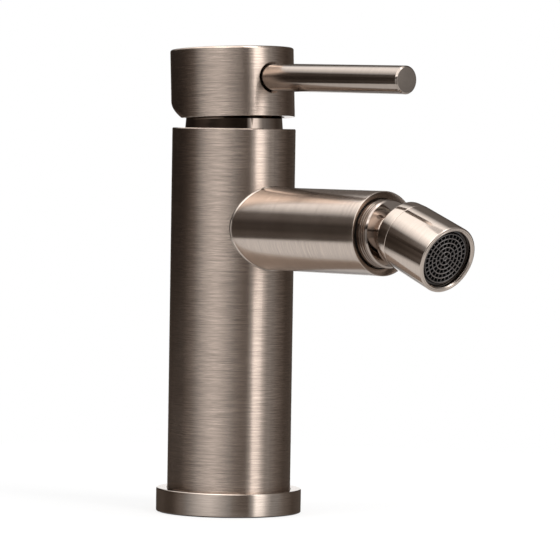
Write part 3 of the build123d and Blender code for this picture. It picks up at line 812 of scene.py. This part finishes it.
@dataclass
class Nozzle:
    """Collar, sleeve and aerator of the nozzle, in distances from the ball's centre along its axis."""

    socket: float = 9.89
    collar_back: float = -2.6
    collar_radius: float = 11.6
    collar_rounding: float = 1.5
    seam: float = 3.0
    seam_edge: float = 0.18
    radius: float = 12.0
    front_radius: float = 12.1
    reach: float = 23.0
    spigot: float = 10.85
    spigot_back: float = 0.8
    fit: float = 0.1
    seal_bore: float = 6.3
    seal_front: float = 9.85
    throat: float = 4.5
    floor: float = 11.0
    mouth: float = 10.35
    rim_rounding: float = 0.5
    rim_bevel: float = 0.4
    rim_line_radius: float = 11.15
    rim_line_depth: float = 0.09
    rim_line_half: float = 0.1
    shell_back: float = 12.2
    shell_front: float = 20.8
    shell_radius: float = 10.3
    shell_bore: float = 9.2
    shell_lip: float = 0.35
    insert_radius: float = 9.15
    grille_back: float = 19.5
    grille_front: float = 21.7
    ring_spacing: float = 1.62
    ring_count: int = 5
    hole_half: float = 0.55
    hole_share: float = 0.38
    pit_depth: float = 1.5
    rib_height: float = 0.2
    rib_width: float = 0.15
    rib_steps: tuple = (-0.22, -0.11, 0.0, 0.11, 0.22)
    border_steps: tuple = (0.45, 0.35, 0.25, 0.15, 0.05)
    first_rows: tuple = (0.2, 0.4)
    lip: float = 0.03
    edge_inset: float = 0.25
    edge_width: float = 0.12
    edge_share: float = 0.8
    spoke_share: float = 0.7
    flat_painted_level: float = 0.22
    skirt_painted_level: float = 0.4
    grille_smooth: float = 30.0
    arc_steps: int = 24
    turns: int = 224
    grille_turns: int = 720

    def socket_arc(self, start: float, end: float) -> Array:
        """Points of the ball socket between two distances, where radius is sqrt(socket^2 - distance^2)."""
        ends = math.acos(start / self.socket), math.acos(end / self.socket)
        return arc_points(self.socket, np.linspace(*ends, self.arc_steps))

    def build_collar(self) -> Piece:
        """Turn the rear half, with its rounded back and the ball's socket."""
        bore = self.spigot + self.fit
        back_bore = math.sqrt(self.socket**2 - self.collar_back**2)
        outline = rounded_outline(
            (back_bore, self.collar_back),
            (self.collar_radius, self.collar_back, self.collar_rounding),
            (self.radius, self.seam, self.seam_edge), (bore, self.seam), (bore, 0.0),
            (self.socket, 0.0),
        )
        outline = np.vstack([outline, self.socket_arc(0.0, self.collar_back)[1:-1]])
        return self.ridden("rear_collar", outline, "nozzle_collar")

    def build_sleeve(self) -> Piece:
        """Turn the front half, with its rim, a fine line on the rim and the mouth's bevel."""
        socket_back = math.sqrt(self.socket**2 - self.spigot_back**2)
        socket_front = math.sqrt(self.socket**2 - self.seal_bore**2)
        line, half = self.rim_line_radius, self.rim_line_half
        outline = rounded_outline(
            (socket_back, self.spigot_back), (self.spigot, self.spigot_back, 0.1),
            (self.spigot, self.seam), (self.radius, self.seam, self.seam_edge),
            (self.front_radius, self.reach, self.rim_rounding), (line + half, self.reach, 0.02),
            (line, self.reach - self.rim_line_depth, 0.02), (line - half, self.reach, 0.02),
            (self.mouth + self.rim_bevel, self.reach, 0.12),
            (self.mouth, self.reach - self.rim_bevel, 0.12), (self.mouth, self.floor, 0.1),
            (self.throat, self.floor), (self.throat, self.seal_front),
            (self.seal_bore, self.seal_front), (self.seal_bore, socket_front),
        )
        arc = self.socket_arc(socket_front, self.spigot_back)[1:-1]
        return self.ridden("front_sleeve", np.vstack([outline, arc]), "nozzle_sleeve")

    def build_shell(self) -> Piece:
        """Turn the aerator's screw-in ring with a softened lip."""
        outline = rounded_outline(
            (self.shell_bore, self.shell_back), (self.shell_radius, self.shell_back, 0.1),
            (self.shell_radius, self.shell_front, 0.3),
            (self.shell_bore + self.shell_lip, self.shell_front, 0.08),
            (self.shell_bore, self.shell_front - self.shell_lip, 0.08),
            (self.shell_bore, self.shell_back),
        )[:-1]
        return self.ridden("aerator_ring", outline, "aerator_shell")

    def ridden(self, name: str, outline: Array, node: str) -> Piece:
        """Turn an outline about the nozzle's axis and put it in a node's place."""
        piece = turned_piece(name, outline, NOZZLE, self.turns)
        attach(piece, "nozzle")
        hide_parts(node)
        return piece

    def build_grille(self) -> Piece:
        """Front grille: a disc whose height is a function of radius and angle.

        The face is flat with raised ribs between the rings, each rib_height * exp(-((r - rib) / width)^2)
        high, and lower ribs between neighbouring holes. Ring k has 6 k pits of pit_depth, where both the
        distance from the ring's radius and the angle from the hole's middle are inside the hole.

        Returns:
            The new object.
        """
        turns = self.grille_turns
        middles = np.arange(1, self.ring_count + 1) * self.ring_spacing
        wall, lip = self.hole_half, self.lip
        steps = np.array([-wall - lip, -wall, -wall + lip, 0.0, wall - lip, wall, wall + lip])
        ribs = (np.arange(self.ring_count) + 0.5) * self.ring_spacing
        rings = [middles[:, None] + steps, ribs[:, None] + self.rib_steps]
        border = self.insert_radius - np.array(self.border_steps)
        rows = np.concatenate([self.first_rows, *(ring.ravel() for ring in rings), border])
        radius, column = np.meshgrid(np.unique(np.round(rows, 4)), np.arange(turns), indexing="ij")
        nearest = np.clip(np.round(radius / self.ring_spacing), 1, self.ring_count)
        off_ring = np.abs(radius - nearest * self.ring_spacing)
        period = turns / (6 * nearest)
        off_hole = np.abs((column + period / 2) % period - period / 2)
        half_angle = np.floor(self.hole_share * period)
        pit = (off_ring < wall - lip / 2) & (off_hole < half_angle - 0.5)
        rib = np.exp(-(((radius[..., None] - ribs) / self.rib_width) ** 2)).max(axis=-1)
        edge = np.exp(-(((radius - (self.insert_radius - self.edge_inset)) / self.edge_width) ** 2))
        spoke = np.clip((off_hole - half_angle) / np.maximum(period / 2 - half_angle, 1), 0, 1)
        spoke = spoke * (off_ring < wall) * (radius > self.ring_spacing / 2)
        relief = np.maximum(np.maximum(rib, self.edge_share * edge), self.spoke_share * spoke)
        height = self.grille_front - self.rib_height * (1 - relief) - self.pit_depth * pit
        ends = (self.grille_front - self.rib_height, self.grille_back)
        radius = np.vstack([radius, np.full((2, turns), self.insert_radius)])
        angle = np.broadcast_to(around(turns), radius.shape)
        height = np.vstack([height, *(np.full((1, turns), level) for level in ends)])
        points, faces = capped_points(NOZZLE, (radius, angle, height), ends)
        faces = [turned_over(block) for block in faces]
        piece = mesh_piece("front_grille", points, faces, self.grille_smooth)
        # Painted shade and light: by height, the pits are painted black and the raised ribs, border and
        # spokes lighter.
        shade = np.where(pit, 0.0, self.flat_painted_level + (1 - self.flat_painted_level) * relief).ravel()
        tone = np.concatenate([shade, np.full(2 * turns + 2, self.skirt_painted_level)])
        attribute = piece.data.attributes.new("tone", "FLOAT", "POINT")
        attribute.data.foreach_set("value", tone.astype(np.float32))
        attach(piece, "nozzle")
        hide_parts("aerator_grille")
        return piece


FLAG_LEVELS: Levels = (
    (-180, 0.06), (-150, 0.02), (-112, 0.02), (-92, 0.05), (-78, 0.1), (-70, 0.18), (-62, 0.33),
    (-50, 0.56), (-38, 0.77), (-28, 0.84), (-16, 0.66), (-4, 0.44), (7, 0.24), (18, 0.16), (30, 0.13),
    (38, 0.5), (44, 1.9), (54, 1.6), (62, 0.75), (70, 0.36), (84, 0.27), (98, 0.16), (120, 0.07),
    (150, 0.08), (180, 0.06),
)
HIGH_LEVELS: Levels = (
    (-180, 0.05), (-100, 0.02), (-60, 0.02), (-30, 0.05), (0, 0.02), (30, 0.02), (38, 0.5), (44, 1.9),
    (56, 1.6), (63, 0.7), (72, 0.3), (90, 0.12), (120, 0.06), (180, 0.05),
)
LOW_LEVELS: Levels = (
    (-180, 0.03), (-130, 0.08), (-100, 0.04), (-82, 0.12), (-50, 0.12), (-30, 0.1), (0, 0.0), (60, 0.0),
    (80, 0.03), (180, 0.03),
)
BACK_LEVELS: Levels = ((-180, 1.0), (-172, 1.0), (-168, 0.0), (168, 0.0), (172, 1.0), (180, 1.0))
OVERHEAD_EDGES = (
    ("aside", Fade(0.15, 0.6, 1.0, 0.04)),
    ("right", Fade(-1.75, -0.65, 0.02)),
    ("right", Fade(0.3, 1.0, 1.0, 0.0)),
    ("back", Fade(-2.0, -1.3)),
    ("up", Fade(0.15, 0.25)),
)
KEY_EDGES = (
    ("right", Fade(-1.2, -0.8)),
    ("right", Fade(0.5, 0.9, 1.0, 0.0)),
    ("back", Fade(-2.65, -2.4)),
    ("back", Fade(-1.9, -1.6, 1.0, 0.0)),
)


@dataclass
class Studio:
    """Floor, light and camera.

    Fades named a band run over the degrees above the horizon. The edges of the two softboxes run over the
    place where a line from the dome's middle meets a plane one unit up: right of the camera, back from
    it, aside along Y, or up, which is the line's sine. Fades of the card run over metres on the floor.
    """

    floor_radius: float = 0.30
    floor_hole: float = 0.01
    floor_drop: float = 0.0001
    floor_grid: tuple[int, int] = (8, 96)
    floor_light: float = 0.69
    floor_colour: Fade = Fade(0.0, 1.0, 0.3, 0.06)
    card_left: Fade = Fade(0.01, -0.09, 0.65, 0.9)
    card_front: Fade = Fade(-0.03, -0.1, 0.0, 0.8)
    card_back: Fade = Fade(0.08, 0.15, 1.0, 0.3)
    card_contact_shadow: Fade = Fade(0.0265, 0.031)
    open_slant: Fade = Fade(0.66, 0.78)
    world_light: Fade = Fade(0.0, 1.0, 0.85)
    dome_radius: float = 0.9
    dome_centre: float = 0.1
    dome_low: float = -22.0
    dome_high: float = 76.0
    dome_grid: tuple[int, int] = (24, 180)
    brightest: float = 2.5
    high_band: tuple[Fade, Fade] = (Fade(8.5, 10.5), Fade(16.5, 19.0, 1.0, 0.0))
    low_band: Fade = Fade(-1.0, -8.0)
    back_band: Fade = Fade(6.0, 9.0, 1.0, 0.0)
    slope_bands: tuple[Fade, Fade] = (Fade(-22.0, 50.0, 0.8, 1.7), Fade(0.5, 3.0, 0.0, 0.13))
    lowest_sine: float = 0.05
    box_light: float = 2.0
    key_light: float = 2.5
    shade_fade: Fade = Fade(0.02, 0.12)
    shade_colour: tuple = (1.0, 0.80, 0.66, 1.0)
    lamp_target: tuple = (0.03, 0.0, 0.09)
    camera_azimuth: float = 50.0
    camera_distance: float = 1.42
    camera_height: float = 0.1398
    camera_yaw: float = 0.710
    camera_pitch: float = 2.220
    camera_roll: float = 0.90
    camera_sensor: float = 36.0
    camera_lens: float = 250.46

    def stand(self, azimuth: float, distance: float, height: float) -> Vector:
        """The place at a bearing right of the camera in degrees, with distance and height in metres."""
        bearing = math.radians(self.camera_azimuth - 90.0 + azimuth)
        return Vector((distance * math.cos(bearing), distance * math.sin(bearing), height))

    def sideways(self, graph: Graph, place: Socket) -> tuple[Socket, Socket]:
        """Put out how far a place lies to the camera's right and back from it, along the floor."""
        right, front = self.stand(90.0, 1.0, 0.0), self.stand(0.0, 1.0, 0.0)
        return graph.measure("DOT_PRODUCT", place, right), graph.measure("DOT_PRODUCT", place, -front)

    def light_world(self) -> None:
        """White surroundings: strength 1 where they are seen, a plain level where they light."""
        world = bpy.data.worlds.new("studio_world")
        bpy.context.scene.world = world
        graph = Graph.fresh(world)
        path = graph.add("LightPath").outputs
        glossy = graph.math("MAXIMUM", path["Is Glossy Ray"], path["Is Transmission Ray"])
        seen = graph.math("MAXIMUM", path["Is Camera Ray"], glossy)
        strength = graph.spread(seen, self.world_light)
        graph.show(graph.add("Background", {"Color": WHITE, "Strength": strength}), "World")

    def build_floor(self) -> None:
        """A plain pale disc that keeps the object's shadow, with a card that only reflections see.

        Point (i, j) is radius_i (cos t_j, sin t_j) on the deck, and one face closes the innermost ring.
        """
        rows, turns = self.floor_grid
        outline = np.full((rows, 2), -self.floor_drop / MM)
        outline[:, 0] = np.linspace(self.floor_hole, self.floor_radius, rows) / MM
        points = DECK.place(*turned_grid(outline, turns))
        faces = [turned_over(grid_faces(rows, turns)), np.arange(turns)[None]]
        floor = mesh_piece("studio_floor", points, faces)
        material, graph = fresh_material("pale_floor")
        path = graph.add("LightPath").outputs
        mirror = path["Is Glossy Ray"]
        direct = graph.math("MAXIMUM", path["Is Camera Ray"], path["Is Transmission Ray"])
        spot = graph.add("TexCoord").outputs["Object"]
        right, behind = self.sideways(graph, spot)
        paper = graph.add("BsdfDiffuse", {"Color": graph.spread(mirror, self.floor_colour)})
        near = graph.spread(right, self.card_left), graph.spread(behind, self.card_front)
        card = graph.times(
            graph.math("MAXIMUM", *near),
            graph.spread(behind, self.card_back),
            # Painted shadow: the card goes dark in a ring round the foot, so reflections show a dark line
            # at its base.
            graph.spread(graph.measure("LENGTH", spot), self.card_contact_shadow),
        )
        strength = graph.plus(graph.times(direct, self.floor_light), graph.times(mirror, card))
        glow = graph.add("Emission", {"Color": WHITE, "Strength": strength})
        both = graph.add("AddShader", {0: paper.outputs[0], 1: glow.outputs[0]})
        clear = graph.add("BsdfTransparent")
        slant = graph.add("LayerWeight", {"Blend": 0.5}).outputs["Facing"]
        gap = graph.times(mirror, graph.spread(slant, self.open_slant))
        graph.show(graph.add("MixShader", {0: gap, 1: both.outputs[0], 2: clear.outputs[0]}))
        cover(floor, material)

    def build_dome(self) -> None:
        """Studio flags and softboxes as one dome, seen only in the object's reflections.

        Point (i, j) is the centre + dome_radius (cos e cos t, cos e sin t, sin e), with the elevation e
        from dome_low to dome_high and the bearing t all the way round.
        """
        rows, turns = self.dome_grid
        fall = np.radians(90 - np.linspace(self.dome_low, self.dome_high, rows))
        outline = arc_points(self.dome_radius / MM, fall)
        outline[:, 1] += self.dome_centre / MM
        points = DECK.place(*turned_grid(outline, turns))
        dome = mesh_piece("studio_dome", points, [grid_faces(rows, turns)])
        for ray in ("camera", "diffuse", "transmission", "shadow", "volume_scatter"):
            setattr(dome, f"visible_{ray}", False)
        material, graph = fresh_material("flags_and_softboxes")
        middle = (0.0, 0.0, self.dome_centre)
        place = graph.vector("SUBTRACT", graph.add("TexCoord").outputs["Object"], middle)
        parts = graph.add("SeparateXYZ", {0: graph.vector("NORMALIZE", place)}).outputs
        start = math.radians(90.0 - self.camera_azimuth)
        bearing = graph.plus(graph.math("ARCTAN2", parts[1], parts[0]), start)
        # Half a turn puts the camera's bearing in the middle, and a whole one keeps the sum positive.
        share = graph.math("FRACT", graph.plus(graph.math("DIVIDE", bearing, 2 * math.pi), 1.5))
        rise = graph.math("DEGREES", graph.math("ARCSINE", parts[2]))
        tables = (FLAG_LEVELS, HIGH_LEVELS, LOW_LEVELS, BACK_LEVELS)
        flags, high, low, back = (self.level_ramp(graph, share, table) for table in tables)
        raised = graph.times(*(graph.spread(rise, fade) for fade in self.high_band))
        flags = graph.plus(
            graph.times(flags, graph.math("SUBTRACT", 1.0, raised)),
            graph.times(high, raised),
            graph.times(low, graph.spread(rise, self.low_band)),
        )
        slope = graph.plus(*(graph.spread(rise, fade) for fade in self.slope_bands))
        sine = graph.math("MAXIMUM", parts[2], self.lowest_sine)
        scale = graph.times(sine, self.dome_radius)
        right, away = (graph.math("DIVIDE", length, scale) for length in self.sideways(graph, place))
        aside = graph.math("DIVIDE", parts[1], sine)
        places = {"right": right, "back": away, "aside": aside, "up": parts[2]}
        box, key = (
            graph.times(light, *(graph.spread(places[name], fade) for name, fade in edges))
            for light, edges in ((self.box_light, OVERHEAD_EDGES), (self.key_light, KEY_EDGES))
        )
        level = graph.plus(
            graph.times(flags, slope),
            graph.math("DIVIDE", graph.plus(box, key), self.brightest),
            graph.times(back, graph.spread(rise, self.back_band)),
        )
        colour = graph.blend(graph.spread(level, self.shade_fade), self.shade_colour, WHITE)
        glow = {"Color": colour, "Strength": graph.times(level, self.brightest)}
        graph.show(graph.add("Emission", glow))
        cover(dome, material)

    def level_ramp(self, graph: Graph, share: Socket, levels: Levels) -> Socket:
        """Put out the light at a bearing, as a share of the brightest.

        Args:
            graph: The dome's node graph.
            share: The bearing as a share of the turn, from -180 to 180 degrees right of the camera.
            levels: Pairs of degrees right of the camera and light there.

        Returns:
            The share of the brightest light.
        """
        ramp = graph.add("ValToRGB", {0: share})
        elements = ramp.color_ramp.elements
        while len(elements) < len(levels):
            elements.new(0.5)
        for element, (degrees, level) in zip(elements, levels):
            element.position = (degrees + 180) / 360
            element.color = (*[level / self.brightest] * 3, 1.0)
        return ramp.outputs[0]

    def hang_lamp(self, name: str, place: Vector, size: float, power: float) -> None:
        """Add one soft area lamp that looks at the object.

        Args:
            name: Name of the lamp.
            place: Where it hangs, in metres.
            size: Side of the lamp, in metres.
            power: Power in watts.
        """
        data = bpy.data.lights.new(name, "AREA")
        data.shape, data.size, data.energy = "SQUARE", size, power
        lamp = linked(name, data)
        lamp.location = place
        lamp.rotation_euler = (Vector(self.lamp_target) - place).to_track_quat("-Z", "Y").to_euler()

    def set_camera(self) -> None:
        """Stand the camera where the photograph was taken from."""
        data = bpy.data.cameras.new("photo_camera")
        data.sensor_width, data.lens = self.camera_sensor, self.camera_lens
        camera = linked("photo_camera", data)
        camera.location = self.stand(0.0, self.camera_distance, self.camera_height)
        bearing = self.camera_azimuth - self.camera_yaw
        turns = (90 - self.camera_pitch, 0.0, bearing), (0.0, 0.0, self.camera_roll)
        heading, roll = (Euler([math.radians(angle) for angle in turn]).to_matrix() for turn in turns)
        camera.rotation_euler = (heading @ roll).to_euler()
        bpy.context.scene.camera = camera

    def build(self) -> None:
        """Set the whole studio."""
        self.light_world()
        self.build_floor()
        self.build_dome()
        self.hang_lamp("key_softbox", self.stand(50.0, distance=0.9, height=0.9), size=0.5, power=6.0)
        self.hang_lamp("fill_softbox", self.stand(-60.0, distance=1.0, height=0.8), size=0.6, power=3.0)
        self.set_camera()


CARRIED_NODES = {
    (BRUSHED, DECK): ("body_column",),
    (BRUSHED, HANDLE): ("handle_hub",),
    (NECK_SHADED_NICKEL, DECK): ("neck_cover",),
    (BRASS, DECK): ("cartridge_nut",),
    (BRASS, HANDLE): ("cartridge_spindle",),
    (STEEL, DECK): ("spindle_pin",),
    (STEEL, ROD): ("lever_stud",),
    (STEEL, HANDLE): ("handle_grub_screw",),
    (RUBBER,): (
        "base_gasket", "stud_ring", "cartridge_port_seals", "ceramic_disc_seals", "neck_ring",
        "nozzle_seal", "collar_washer", "aerator_washer",
    ),
    (CERAMIC,): ("fixed_ceramic_disc", "moving_ceramic_disc"),
    (CARTRIDGE_PLASTIC,): ("cartridge_base", "cartridge_housing"),
    (ROTOR_PLASTIC,): ("cartridge_rotor", "disc_carrier"),
    (LINER_PLASTIC,): ("ball_liner",),
    (CAP_PLASTIC,): ("handle_plug",),
    (SCREEN_PLASTIC,): ("aerator_screen",),
}


def main() -> None:
    """Dress the nodes that keep their own shape, build the finer pieces, report them and light all."""
    logging.basicConfig(level=logging.INFO)
    finisher = Finisher()
    for finish, names in CARRIED_NODES.items():
        for name in names:
            finisher.dress(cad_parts[name], *finish)
    nozzle = Nozzle()
    for piece, *finish in (
        (Foot().build(), FOOT_SATIN, DECK),
        (Lever().build(), ROD_SHADED_SATIN, ROD),
        (SideSpout().build(), SATIN, SPOUT),
        (BallStud().build(), STUD_SHADED_NICKEL, SPOUT),
        (nozzle.build_collar(), NOZZLE_SATIN, NOZZLE),
        (nozzle.build_sleeve(), NOZZLE_SATIN, NOZZLE),
        (nozzle.build_shell(), AERATOR_PLASTIC),
        (nozzle.build_grille(), GRILLE_PLASTIC),
    ):
        finisher.dress(piece, *finish)
        logger.info("%s has %d faces", piece.name, len(piece.data.polygons))
    Studio().build()
    bpy.context.scene.view_settings.view_transform = "Standard"


if __name__ == "__main__":
    main()
